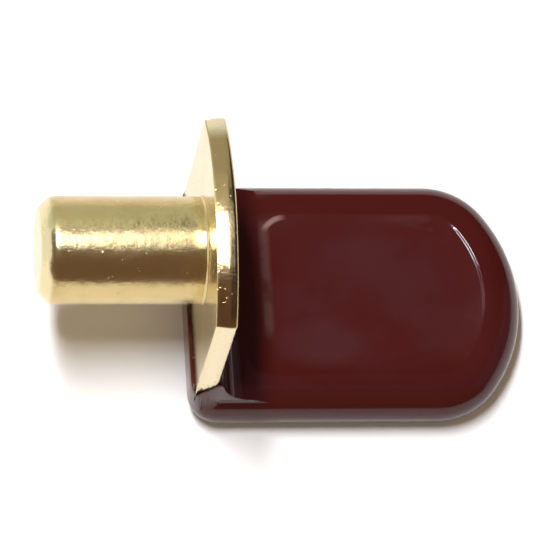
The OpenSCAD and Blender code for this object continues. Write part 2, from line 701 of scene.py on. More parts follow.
@dataclass(frozen=True)
class SoftVinyl:
    """Glossy dark red-brown vinyl, moulded, with faint ripples and clouds in its gloss.

    It has painted shade: it is darker along its near edge and towards its tip. It has a painted
    sheen, a paler bloom and a small paler patch in the dish, and two painted highlights, a pale
    strip along the dish's edge towards the flange and a pale quarter ring on its far corner. Both
    highlights are on the top only. Centres, radii and limits named for x, y or z are in
    millimetres on the part, and a strength is the share of its paler colour.
    """

    name: str
    deep: Colour = (0.0615, 0.0072, 0.0058)
    # Painted shade: the darker colour along the near edge and towards the tip.
    shaded: Colour = (0.0505, 0.0050, 0.0038)
    # Painted sheen: the paler colour of the bloom and the patch in the dish.
    painted_sheen: Colour = (0.0650, 0.0150, 0.0165)
    # Painted highlight: the pale strip along the dish's edge towards the flange.
    edge_glint: Colour = (0.1150, 0.0560, 0.0520)
    # Painted highlight: the pale quarter ring on the dish's far corner.
    crescent_glint: Colour = (0.30, 0.17, 0.15)
    roughness: float = 0.10
    cloud_rough: Ease = (0.35, 0.7, -0.015, 0.03)
    fine_rough: float = 0.02
    ripple_mm: float = 0.010
    grain_mm: float = 0.0006
    clouds: Noise = Noise(0.35, 3.0, 0.55)
    ripples: Noise = Noise(0.45, 1.0, 0.4)
    grains: Noise = Noise(7.0, 3.0, 0.6)
    breaks: Noise = Noise(1.1, 2.0, 0.5)
    # Where the painted sheen lies: a bloom over the dish and a patch at its near-left corner.
    bloom_at: Pair = (9.0, -0.3)
    bloom_r: Pair = (6.0, 4.4)
    bloom_ease: Ease = (0.3, 1.0, 0.6, 0.0)
    bloom_breaks: Ease = (0.3, 0.62, 0.25, 1.0)
    patch_at: Pair = (6.0, -2.5)
    patch_r: Pair = (2.6, 1.5)
    patch_ease: Ease = (0.1, 1.0, 0.75, 0.0)
    # Where the painted shade lies: along the near edge and towards the tip.
    near_y: Range = (-5.6, -2.4)
    tip_x: Range = (13.6, 14.8)
    tip_light: float = 0.2
    top_z: Range = (-6.0, -5.6)
    # Where the painted highlight strip lies along the dish's edge.
    glint_x: Band = (3.35, 3.65, 3.75, 4.1)
    glint_y: Band = (-2.6, -1.4, 3.4, 4.0)
    glint_breaks: Ease = (0.3, 0.6, 0.3, 1.0)
    glint_strength: float = 0.65
    # Where the painted highlight ring lies on the dish's far corner.
    crescent_at: Pair = (4.75, 2.85)
    crescent_r: float = 1.1
    crescent_spread: float = 0.03
    crescent_x: Range = (4.3, 4.9)
    crescent_y: Range = (3.2, 3.6)
    crescent_strength: float = 0.8

    def bloom(self, g: Graph, x: Wire, y: Wire, cloud: Wire) -> Wire:
        """The share of the painted sheen's colour: two soft ellipses, the larger broken up by
        clouds.

        Args:
            g: The material's graph.
            x: Place along the sleeve.
            y: Place across it.
            cloud: The cloudy pattern.

        Returns:
            The share.
        """
        away, apart = (
            ((x - at[0]) / r[0]) ** 2.0 + ((y - at[1]) / r[1]) ** 2.0
            for at, r in ((self.bloom_at, self.bloom_r), (self.patch_at, self.patch_r))
        )
        share = g.ramp(away, *self.bloom_ease) * g.ramp(cloud, *self.bloom_breaks)
        return share + g.ramp(apart, *self.patch_ease)

    def crescent_highlight(self, g: Graph, x: Wire, y: Wire) -> Wire:
        """The far corner's painted highlight: 1 on a circle, falling with the square of the
        distance to it.

        Args:
            g: The material's graph.
            x: Place along the sleeve.
            y: Place across it.

        Returns:
            The painted highlight's share, on the circle's outer quarter only.
        """
        to_centre = ((x - self.crescent_at[0]) ** 2.0 + (y - self.crescent_at[1]) ** 2.0) ** 0.5
        mark = g.fall((to_centre - self.crescent_r) ** 2.0, 0.0, self.crescent_spread)
        return mark * g.fall(x, *self.crescent_x) * g.rise(y, *self.crescent_y)

    def build(self) -> bpy.types.Material:
        """Makes the vinyl's material.

        Returns:
            The finished material.
        """
        g = Graph(self.name)
        point = g.place()
        x, y, z = g.parts(point)
        cloud, fine = g.noise(point, self.clouds), g.noise(point, self.grains)
        height = g.noise(point, self.ripples) * self.ripple_mm + fine * self.grain_mm
        rough = self.roughness + g.ramp(cloud, *self.cloud_rough) + fine * self.fine_rough
        # Painted shade: 1 where lit, falling to the darker colour at the near edge and the tip.
        light = g.rise(y, *self.near_y) * g.ramp(x, *self.tip_x, 1.0, self.tip_light)
        tone = g.mix(light, self.shaded, self.deep)
        # Painted reflection: a paler bloom and patch in the dish.
        tone = g.mix(self.bloom(g, x, y, cloud), tone, self.painted_sheen)
        above = g.rise(z, *self.top_z)
        # Painted highlight: a pale strip along the dish's edge towards the flange, on the top
        # only.
        glint_share = g.band(x, self.glint_x) * g.band(y, self.glint_y)
        glint_share = glint_share * g.ramp(g.noise(point, self.breaks), *self.glint_breaks)
        tone = g.mix(glint_share * above * self.glint_strength, tone, self.edge_glint)
        # Painted highlight: a pale quarter ring on the dish's far corner, on the top only.
        tone = g.mix(self.crescent_highlight(g, x, y) * above * self.crescent_strength, tone, self.crescent_glint)
        return g.close(
            Base_Color=tone,
            Roughness=rough,
            IOR=1.5,
            Normal=g.bump(height),
        )


# ---------------------------------------------------------------------------------------------
# Shapes shared by the bracket and its sleeve
# ---------------------------------------------------------------------------------------------


@dataclass(frozen=True)
class Tongue:
    """Outline of a flat tongue: a straight back with round corners, straight sides and a tip."""

    back_x: float
    half_w: float
    tip_x: float
    tip_r: float
    corner_r: float
    back_r: float
    least_r: float = 0.02
    back_count: int = 14
    back_arc_count: int = 10
    side_count: int = 34
    corner_count: int = 18
    tip_count: int = 18

    @property
    def corner(self) -> tuple[float, float]:
        """Centre of the far tip corner: inside both the side and the tip's arc."""
        y = self.half_w - self.corner_r
        return self.tip_x - self.tip_r + math.sqrt((self.tip_r - self.corner_r) ** 2 - y * y), y

    @property
    def middle(self) -> Array:
        """The point half way between the back and the tip."""
        return np.array([0.5 * (self.back_x + self.tip_x), 0.0])

    def loops(self, inset: Array) -> Array:
        """Closed outlines, each the tongue's own outline moved inwards by an inset.

        The half loop runs from the middle of the back along the near side to the middle of the
        tip: a straight, an arc, a straight, an arc and the tip's arc, and is then mirrored.

        Args:
            inset: How far each loop lies inside the outline.

        Returns:
            Loops by points by two.
        """
        d = np.asarray(inset, dtype=float)[:, None]
        cx, cy = self.corner
        angle = math.atan2(cy, cx - (self.tip_x - self.tip_r))
        back_r = np.maximum(self.back_r - d, self.least_r)
        back_y = self.half_w - self.back_r
        start = self.back_x + self.back_r
        across = np.linspace(0.0, 1.0, self.back_count)[None, :-1]
        along = crowded(self.side_count, 1.5)[None, 1:-1]
        half = np.concatenate(
            [
                span(start - back_r, -back_y * across),
                arc((start, -back_y), back_r, math.pi, 1.5 * math.pi, self.back_arc_count),
                span(start + (cx - start) * along, d - self.half_w),
                arc((cx, -cy), np.maximum(self.corner_r - d, self.least_r), -0.5 * math.pi,
                    -angle, self.corner_count)[:, :-1],
                arc((self.tip_x - self.tip_r, 0.0), self.tip_r - d, -angle, 0.0, self.tip_count),
            ],
            axis=1,
        )
        half[:, 0, 1] = 0.0
        half[:, -1, 1] = 0.0
        return mirrored(half)


@dataclass(frozen=True)
class ShearedEdge:
    """Sizes of a sheared edge, in height over the strip's middle and in inset from its outline.

    It has a roll-over, an upright land, a break that leans in by the draft along a curve that
    bows, and an arris. Three lengths place its first and last points on the faces.
    """

    roll: float = 0.16
    roll_in: float = 0.22
    arris: float = 0.04
    draft: float = 0.10
    bow: float = 1.15
    land_top: float = -0.17
    break_from: float = -0.13
    near_roll: float = 0.06
    near_arris: float = 0.05
    on_face: float = 0.5
    roll_count: int = 11
    arris_count: int = 7
    break_count: int = 5


@dataclass(frozen=True)
class StripSizes:
    """Sizes of the bent strip, which the bracket has and the sleeve grips."""

    width: float = 10.5
    thick: float = 1.0
    bend_r: float = 0.5
    shoulder_z: float = 3.2
    crown_h: float = 1.9
    leg_top_z: float = -5.8
    leg_reach: float = 15.3
    tip_r: float = 6.85
    corner_r: float = 2.85
    shoulder_r: float = 0.14
    least_r: float = 0.01
    sides_from: float = 2.4
    line_from: float = 2.6
    line_short: float = 4.2
    crown_count: int = 25
    shoulder_count: int = 6
    flange_count: int = 14
    bend_count: int = 24
    leg_count: int = 14
    corner_count: int = 14
    tip_count: int = 16

    @property
    def top_z(self) -> float:
        """Height of the crown's top."""
        return self.shoulder_z + self.crown_h

    @property
    def heel(self) -> tuple[float, float]:
        """The x and z of the bend's centre line."""
        return self.bend_r + self.thick, self.leg_top_z + self.bend_r

    @property
    def tip(self) -> tuple[float, float, float, float]:
        """Where the leg's tip lies.

        Returns:
            The tip corner's centre in x and y, the tip arc's centre in x, and its half angle.
        """
        tip_cx = self.leg_reach - self.tip_r
        y = 0.5 * self.width - self.corner_r
        x = tip_cx + math.sqrt((self.tip_r - self.corner_r) ** 2 - y**2)
        return x, y, tip_cx, math.atan2(y, x - tip_cx)

    def sheared_edge(self, cut: ShearedEdge) -> Array:
        """Inset and height of the strip's cut edge, from the inner face to the outer face.

        A roll-over leads to an upright land, and the break beyond it leans in towards the outer
        face, where it ends in a sharp arris. A point or two on each face lead in and out.

        Args:
            cut: Sizes of the edge's parts.

        Returns:
            Pairs of inset and height over the middle of the strip, n by 2.
        """
        half = 0.5 * self.thick
        turn = np.linspace(0.5 * np.pi, 0.0, cut.roll_count)
        rolled = np.stack(
            [cut.roll_in * (1.0 - np.cos(turn)), -half + cut.roll * (1.0 - np.sin(turn))], 1
        )
        turn = np.linspace(0.0, 0.5 * np.pi, cut.arris_count)
        arris = cut.arris
        sharp = np.stack(
            [cut.draft + arris * (1.0 - np.cos(turn)), half - arris * (1.0 - np.sin(turn))], 1
        )
        land = np.array([[0.0, -half + cut.roll + cut.near_roll], [0.0, cut.land_top]])
        rise = np.linspace(0.0, 1.0, cut.break_count + 1)[:-1, None]
        leaning = np.concatenate(
            [cut.draft * rise**cut.bow, cut.break_from + (half - arris - cut.break_from) * rise], 1
        )
        far = cut.roll_in + cut.on_face
        lead = np.array([[far, -half], [cut.roll_in + cut.near_roll, -half]])
        tail = np.array([[cut.draft + arris + cut.near_arris, half], [far, half]])
        return np.concatenate([lead, rolled, land, leaning, sharp, tail])

    def blank_loops(self, inset: Array) -> Array:
        """Outlines of the flat blank, in the length along the strip from its crown and in y.

        The half loop is the crown's arc, a small shoulder arc, the straight side, which crowds
        its points at the bend, the tip's corner arc and the tip's arc, and is then mirrored.

        Args:
            inset: How far each loop lies inside the blank's outline.

        Returns:
            Loops by points by two: first the length along the strip, then y.
        """
        d = np.asarray(inset, dtype=float)[:, None]
        half_w = 0.5 * self.width
        crown_r = (half_w**2 + self.crown_h**2) / (2.0 * self.crown_h)
        corner = np.maximum(self.shoulder_r - d, self.least_r)
        cy = half_w - d - corner
        drop = np.sqrt((crown_r - d - corner) ** 2 - cy * cy)
        at = np.arctan2(cy, drop)
        shoulder_s = crown_r - drop
        turn = np.linspace(0.0, 1.0, self.crown_count + 1)[None, :-1]
        crown = span(
            crown_r - (crown_r - d) * np.cos(at * turn), -(crown_r - d) * np.sin(at * turn)
        )
        turn = at + (0.5 * np.pi - at) * np.linspace(0.0, 1.0, self.shoulder_count)[None, :]
        shoulder = span(shoulder_s - corner * np.cos(turn), -cy - corner * np.sin(turn))
        heel_x, heel_z = self.heel
        bend_s = self.top_z - heel_z
        bend_length = 0.5 * np.pi * (self.bend_r + 0.5 * self.thick)
        tip_x, tip_cy, tip_cx, angle = self.tip
        to_s = bend_s + bend_length - heel_x
        leg_s = bend_s + bend_length
        places = np.concatenate(
            [
                np.linspace(self.sides_from, bend_s, self.flange_count),
                np.linspace(bend_s, leg_s, self.bend_count + 1)[1:],
                np.linspace(leg_s, tip_x + to_s, self.leg_count + 2)[1:-1],
            ]
        )[None, :]
        half = np.concatenate(
            [
                crown,
                shoulder,
                span(places, -(half_w - d)),
                arc((tip_x + to_s, -tip_cy), self.corner_r - d, -0.5 * math.pi, -angle,
                    self.corner_count)[:, :-1],
                arc((tip_cx + to_s, 0.0), self.tip_r - d, -angle, 0.0, self.tip_count),
            ],
            axis=1,
        )
        half[:, 0, 1] = 0.0
        half[:, -1, 1] = 0.0
        return mirrored(half)

    def bent(self, s: Array, y: Array, w: Array) -> Array:
        """Folds the flat blank round the bend.

        The flange stands at x = half the thickness, the bend is a quarter circle about the heel,
        and the leg lies level. w is measured from the middle of the strip to its outer face.

        Args:
            s: Length along the strip from the crown's top.
            y: Place across the strip.
            w: Height over the middle of the strip.

        Returns:
            Points in the part's frame, with three coordinates last.
        """
        heel_x, heel_z = self.heel
        middle_r = self.bend_r + 0.5 * self.thick
        bend_s = self.top_z - heel_z
        turn = np.clip((s - bend_s) / middle_r, 0.0, 0.5 * np.pi)
        r = middle_r + w
        before = np.minimum(s - bend_s, 0.0)
        past = np.maximum(s - bend_s - 0.5 * np.pi * middle_r, 0.0)
        x = heel_x - r * np.cos(turn) + past
        z = heel_z - r * np.sin(turn) - before
        return np.stack(np.broadcast_arrays(x, y, z), axis=-1)

    def surface(self, name: str, edge: Array) -> bpy.types.Object:
        """The bent strip with an edge profile carried round its outline.

        Each loop follows the blank's outline at the profile's inset, and at both faces the loops
        close onto the strip's middle line, which stops short of the crown and the tip.

        Args:
            name: Name of the object.
            edge: Pairs of inset and height from the inner face to the outer face.

        Returns:
            The closed object.
        """
        flat = self.blank_loops(edge[:, 0])
        s, y = flat[..., 0], flat[..., 1]
        w = np.broadcast_to(edge[:, 1:2], s.shape)
        line = np.clip(s[:1], self.line_from, s.max() - self.line_short)
        zero = np.zeros_like(line)
        mid = 0.5 * (line + s[:1])
        s = np.concatenate([line, mid, s, mid, line])
        y = np.concatenate([zero, 0.5 * y[:1], y, 0.5 * y[-1:], zero])
        w = np.concatenate([w[:1], w[:1], w, w[-1:], w[-1:]])
        return ring_surface(name, self.bent(s, y, w))


# ---------------------------------------------------------------------------------------------
# The three pieces
# ---------------------------------------------------------------------------------------------


@dataclass
class Pin:
    """The turned pin, with its lead-in, flared root, waist, tenon and rivet head."""

    radius: float = 2.5
    length: float = 7.6
    lead_in: float = 0.5
    lead_depth: float = 0.55
    flare: float = 0.10
    waist: float = 0.02
    waist_from: float = -5.6
    tenon_r: float = 1.6
    strip_thick: float = 1.0
    head_r: float = 2.2
    head_h: float = 0.4
    head_round: float = 0.28
    head_crown: float = 0.06
    tenon_clear: float = 0.4
    corner_radii: tuple[float, ...] = (0.16, 0.75, 0.08, 0.01, 0.03, 0.03, 0.08)
    corner_count: int = 13
    around: int = 192
    step: float = 0.12
    finish: BrassPlate = field(default_factory=lambda: BrassPlate("plated_pin", Grain.TURNED))

    def profile(self) -> Array:
        """The pin's half section, from the free end's centre to the rivet head's centre.

        It is a polyline with its corners rounded. The body waists in towards the strip by the
        waist's depth times the sixth power of the share of the way, and flares at its root. The
        points within the tenon's clearance stay where they are.

        Returns:
            Pairs of x and radius, in millimetres.
        """
        top = self.strip_thick + self.head_h
        corners = np.array(
            [
                [-self.length, 0.0],
                [-self.length, self.radius - self.lead_depth],
                [-self.length + self.lead_in, self.radius],
                [-self.flare, self.radius],
                [0.0, self.radius + self.flare],
                [0.0, self.tenon_r],
                [self.strip_thick, self.tenon_r],
                [self.strip_thick, self.head_r],
                [top - self.head_crown, self.head_r - self.head_round],
                [top, 0.0],
            ]
        )
        radii = np.array([*self.corner_radii, self.head_round])
        path = refined(rounded_path(corners, radii, self.corner_count), self.step)
        body = (path[:, 0] < TINY) & (path[:, 1] > self.tenon_r + self.tenon_clear)
        share = np.clip((path[:, 0] - self.waist_from) / -self.waist_from, 0.0, 1.0)
        path[:, 1] -= np.where(body, self.waist * share**6, 0.0)
        return path

    def build(self) -> bpy.types.Object:
        """Turns the profile about the pin's axis.

        Returns:
            The pin, dressed and riding on the part.
        """
        piece = turned_surface("turned_pin", self.profile(), self.around)
        piece.data.materials.append(self.finish.build())
        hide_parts("pin")
        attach(piece, "root")
        return piece


@dataclass
class Bracket:
    """The stamped and bent strip, with the tenon's hole."""

    strip: StripSizes = field(default_factory=StripSizes)
    edge: ShearedEdge = field(default_factory=ShearedEdge)
    hole_r: float = 1.62
    hole_over: float = 1.0
    around: int = 96
    finish: BrassPlate = field(default_factory=lambda: BrassPlate("plated_strip", Grain.ROLLED))

    def build(self) -> bpy.types.Object:
        """Makes the strip and bores its hole with a drill that stands past both faces.

        Returns:
            The bracket, dressed and riding on the part.
        """
        piece = self.strip.surface("bent_bracket", self.strip.sheared_edge(self.edge))
        near, far, r = -self.hole_over, self.strip.thick + self.hole_over, self.hole_r
        drill = np.array([[near, 0.0], [near, r], [far, r], [far, 0.0]])
        cut_away(piece, turned_surface("drill", drill, self.around))
        piece.data.materials.append(self.finish.build())
        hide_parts("bracket")
        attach(piece, "root")
        return piece


# Loops on the sleeve's top, by their insets in millimetres. They crowd near its outline and
# where the foot's skin ends, and round the dish's rim. The belly's loops are shares of the way
# from its middle to its edge.
EXTRA_INSETS = np.array([0.01, 0.03, 0.055, 0.065, 0.09, 0.105, 0.48, 0.5, 0.51, 0.52, 0.53, 0.54,
                         0.56, 0.57, 0.58, 0.59, 0.6, 0.62, 1.4])
RIM_INSETS = np.concatenate(
    [[-0.18, -0.15], np.linspace(-0.125, 0.035, 9), np.linspace(0.07, 0.88, 14)]
)
BELLY_SHARES = np.array([0.15, 0.5, 0.8, 0.95])


@dataclass
class Sleeve:
    """The vinyl sleeve: a pillow round the leg, a foot up the flange and a shallow dish."""

    strip: StripSizes = field(default_factory=StripSizes)
    side_wall: float = 0.7
    face_wall: float = 0.8
    foot_skin: float = 0.2
    foot_rise: float = 0.15
    foot_fillet: float = 1.55
    heel_round: float = 0.12
    grip_gap: float = 0.02
    dish_depth: float = 0.25
    dish_border: float = 1.95
    dish_start: float = 3.7
    dish_corner_r: float = 1.5
    dish_lead: float = 0.12
    dish_run: float = 3.4
    flange_lead: float = 1.2
    bowl_turn: float = 1.5
    crease: float = 0.03
    crease_run: float = 0.14
    crease_fade: float = 2.0
    crease_x: Range = (10.5, 12.0)
    crease_y: Band = (-1.0, 0.5, 3.2, 3.7)
    foot_wall_slope: float = 20.0
    foot_wall_drop: float = 0.3
    foot_fall: float = 0.4
    outside_dish: float = -1.0
    soft: float = 0.07
    between_count: int = 26
    floor_count: int = 19
    edge_count: int = 19
    finish: SoftVinyl = field(default_factory=lambda: SoftVinyl("vinyl"))

    @property
    def edge_r(self) -> float:
        """Radius of the sleeve's round edge, which is half its thickness."""
        return 0.5 * self.strip.thick + self.face_wall

    @property
    def middle_z(self) -> float:
        """Height of the middle of the leg."""
        return self.strip.leg_top_z - 0.5 * self.strip.thick

    @property
    def outline(self) -> Tongue:
        """The sleeve's outline seen from above: the leg's, grown by the side wall.

        Returns:
            The outline.
        """
        s = self.strip
        return Tongue(
            -self.foot_skin,
            0.5 * s.width + self.side_wall,
            s.leg_reach + self.side_wall,
            s.tip_r + self.side_wall,
            s.corner_r + self.side_wall,
            self.edge_r + self.heel_round,
        )

    @property
    def dish(self) -> Tongue:
        """The dish's outline: the sleeve's less the border, with its own back edge.

        Returns:
            The outline.
        """
        o = self.outline
        b = self.dish_border
        return Tongue(
            self.dish_start, o.half_w - b, o.tip_x - b, o.tip_r - b, o.corner_r - b,
            self.dish_corner_r,
        )

    def pillow_z(self, inset: Array) -> Array:
        """Height over the middle of the leg: a quarter circle over the edge, then level."""
        inside = self.edge_r - np.minimum(inset, self.edge_r)
        return np.sqrt(np.maximum(self.edge_r**2 - inside**2, 0.0))

    def foot_z(self, x: Array) -> Array:
        """Height of the foot along x, over the middle of the leg.

        It is level behind the flange, climbs across the strip's thickness, is level again for the
        skin, and comes down a concave quarter circle to the sleeve's top. Past that it falls on,
        so that the pillow takes over.

        Args:
            x: Places along the sleeve.

        Returns:
            Heights, as the places are laid out.
        """
        top = self.edge_r
        start = self.strip.thick + self.foot_skin
        centre = start + self.foot_fillet
        climb = np.interp(
            x, [0.0, self.strip.thick], [top + self.foot_rise, top + self.foot_fillet]
        )
        down = self.foot_fillet - np.sqrt(
            np.maximum(self.foot_fillet**2 - (centre - np.clip(x, start, centre)) ** 2, 0.0)
        )
        past = np.where(x > centre, self.foot_fall * (x - centre), 0.0)
        return np.where(x < start, climb, top + down) - past

    def crease_z(self, x: Array, y: Array, in_dish: Array) -> Array:
        """Depth of the crease inside the dish's rim, on the far side towards the tip.

        It is a smooth step down at the rim which dies away into the dish, times straight ramps
        along x and y that fade its ends.

        Args:
            x: Places along the sleeve.
            y: Places across it.
            in_dish: Distance inside the dish's outline.

        Returns:
            Depths, as the places are laid out.
        """
        deep = self.crease * smooth_step((in_dish + self.dish_lead) / self.crease_run)
        deep = deep * np.interp(x, self.crease_x, [0.0, 1.0])
        deep = deep * np.interp(y, self.crease_y, [0.0, 1.0, 1.0, 0.0])
        return deep * np.clip(1.0 - in_dish / self.crease_fade, 0.0, 1.0)

    def top_z(self, flat: Array, inset: Array, in_dish: Array) -> Array:
        """Height of the sleeve's top surface over the middle of the leg.

        The pillow and the foot are joined by a soft maximum, and the foot ends in steep skin
        walls. The dish is a bowl: its depth times one less the square of the share of its slope
        that is still to go, counted from its sides and from its edge towards the flange, which
        meet in a soft minimum, or from its outline in the half towards the tip.

        Args:
            flat: Loops by points by two, seen from above.
            inset: Distance inside the sleeve's outline, loops by points.
            in_dish: Distance inside the dish's outline, loops by points.

        Returns:
            Heights, loops by points.
        """
        x, y = flat[..., 0], flat[..., 1]
        dish = self.dish
        half_foot = 0.5 * self.strip.width + self.foot_skin
        inside = np.minimum(inset, half_foot - np.abs(y))
        wall = self.edge_r - self.foot_wall_drop + self.foot_wall_slope * inside
        foot = soft_min(self.foot_z(x), wall, self.soft)
        height = soft_max(self.pillow_z(inset), foot, self.soft)
        side = dish.half_w - np.abs(y) + self.dish_lead
        reach = soft_min(x - self.dish_start + self.flange_lead, side, self.bowl_turn)
        reach = np.where(x < dish.middle[0], reach, in_dish + self.dish_lead)
        share = np.clip(reach / self.dish_run, 0.0, 1.0)
        bowl = self.dish_depth * (1.0 - (1.0 - share) ** 2.0)
        return height - bowl - self.crease_z(x, y, in_dish)

    def top_rings(self, outer_in: Array) -> Array:
        """Loops over the sleeve's top, from its outline to the middle of the dish.

        The outline's loops move inwards, straight blends lead from the last of them to the
        dish's outermost loop, the dish's loops follow, and the last one shrinks to the middle.

        Args:
            outer_in: Insets of the outline's loops.

        Returns:
            Loops by points by three, with heights over the middle of the leg.
        """
        dish = self.dish
        outer = self.outline.loops(outer_in)
        rim = dish.loops(RIM_INSETS)
        share = np.linspace(0.0, 1.0, self.between_count + 2)[1:-1, None, None]
        between = outer[-1:] * (1.0 - share) + rim[:1] * share
        shrink = np.linspace(0.95, 0.05, self.floor_count)
        floor = dish.middle + (rim[-1:] - dish.middle) * shrink[:, None, None]
        flat = np.concatenate([outer, between, rim, floor])
        around = flat.shape[1]
        inset = np.full((len(flat), 1), 2.0 * self.edge_r)
        inset[: len(outer), 0] = outer_in
        deeper = RIM_INSETS[-1] + (1.0 - shrink) * (dish.half_w - RIM_INSETS[-1])
        known = np.concatenate([RIM_INSETS, deeper])[:, None]
        beyond = np.full((len(outer) + len(between), around), self.outside_dish)
        in_dish = np.concatenate([beyond, np.broadcast_to(known, (len(known), around))])
        height = self.top_z(flat, inset, in_dish)
        height[0] = 0.0
        return np.concatenate([flat, height[..., None]], axis=-1)

    def under_rings(self, round_in: Array) -> Array:
        """Loops under the sleeve, from its middle out to its outline: a level belly and an edge.

        Args:
            round_in: Insets over the round edge, from the outline inwards.

        Returns:
            Loops by points by three, with heights over the middle of the leg.
        """
        centre = self.dish.middle
        under_in = round_in[:0:-1]
        edge = self.outline.loops(under_in)
        belly = centre + (edge[:1] - centre) * BELLY_SHARES[:, None, None]
        flat = np.concatenate([belly, edge])
        depth = np.concatenate([np.full(len(belly), self.edge_r), self.pillow_z(under_in)])
        depth = np.broadcast_to(-depth[:, None, None], (*flat.shape[:2], 1))
        return np.concatenate([flat, depth], axis=-1)

    def build(self) -> bpy.types.Object:
        """Makes the sleeve's skin from loops and cuts the strip's pocket in it.

        Returns:
            The sleeve, dressed and riding on the part.
        """
        turn = np.linspace(0.0, 0.5 * np.pi, self.edge_count)
        round_in = self.edge_r * (1.0 - np.cos(turn))
        top = self.top_rings(np.unique(np.concatenate([round_in, EXTRA_INSETS])))
        rings = np.concatenate([self.under_rings(round_in), top])
        rings[..., 2] += self.middle_z
        low, high = self.middle_z - self.edge_r, self.middle_z + self.edge_r - self.dish_depth
        ends = [np.array([*self.dish.middle, z]) for z in (low, high)]
        piece = closed_surface("vinyl_sleeve", rings, *ends)
        cut_away(piece, self.pocket())
        piece.data.materials.append(self.finish.build())
        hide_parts("sleeve")
        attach(piece, "root")
        return piece

    def pocket(self) -> bpy.types.Object:
        """The strip grown by the grip's gap on every face, as the tool that cuts the pocket.

        Returns:
            The closed tool.
        """
        gap, soft, deep = self.grip_gap, 0.01, 1.0
        half = 0.5 * self.strip.thick + gap
        edge = np.array([[deep, -half], [-gap + soft, -half], [-gap, -half + soft],
                         [-gap, half - soft], [-gap + soft, half], [deep, half]])
        return self.strip.surface("pocket_tool", edge)


# ---------------------------------------------------------------------------------------------
# The studio
# ---------------------------------------------------------------------------------------------


def background_ray(tree: bpy.types.NodeTree) -> Any:
    """A socket that is 1 for the camera's rays and for those reflected or passed on, else 0.

    Args:
        tree: The node tree of the floor's material or of the world.

    Returns:
        The socket, which is the greatest of the three kinds of ray.
    """
    path = tree.nodes.new("ShaderNodeLightPath")
    seen = path.outputs[SEEN_BY[0]]
    for ray in SEEN_BY[1:]:
        either = tree.nodes.new("ShaderNodeMath")
        either.operation = "MAXIMUM"
        tree.links.new(seen, either.inputs[0])
        tree.links.new(path.outputs[ray], either.inputs[1])
        seen = either.outputs[0]
    return seen


@dataclass(frozen=True)
class Card:
    """A flat panel that shiny surfaces reflect: its centre, half sizes, colour and strength.

    The half size across the panel's own face is zero.
    """

    name: str
    centre: Point
    half: Point
    colour: Colour
    strength: float = 1.0

    def build(self) -> bpy.types.Object:
        """Makes the panel from its centre and its two half edges, seen by reflections only.

        Returns:
            The panel's object.
        """
        c, half = (np.array(v) * MM for v in (self.centre, self.half))
        a, b = (np.eye(3)[i] * half[i] for i in np.flatnonzero(half))
        corners = [c - a - b, c + a - b, c + a + b, c - a + b]
        mesh = bpy.data.meshes.new(self.name)
        mesh.from_pydata([p.tolist() for p in corners], [], [(0, 1, 2, 3)])
        panel = placed(self.name, mesh)
        g = Graph(self.name)
        glow = g.node("ShaderNodeEmission", Color=self.colour, Strength=self.strength)
        mesh.materials.append(g.shown(glow))
        panel.visible_camera = False
        panel.visible_diffuse = False
        panel.visible_shadow = False
        return panel


@dataclass(frozen=True)
class Lamp:
    """A soft rectangular lamp: its centre, its aim, its sizes and its light."""

    name: str
    centre: Point
    aim: Point
    size: Pair
    power: float
    colour: Colour

    def build(self) -> bpy.types.Object:
        """Makes the lamp, turned so that it faces its aim.

        Returns:
            The lamp's object.
        """
        data = bpy.data.lights.new(self.name, "AREA")
        data.shape = "RECTANGLE"
        data.size, data.size_y = (v * MM for v in self.size)
        data.energy = self.power
        data.color = self.colour
        lamp = placed(self.name, data)
        lamp.location = Vector(self.centre) * MM
        away = (Vector(self.centre) - Vector(self.aim)).normalized()
        lamp.rotation_euler = away.to_track_quat("Z", "Y").to_euler()
        lamp.visible_camera = False
        return lamp


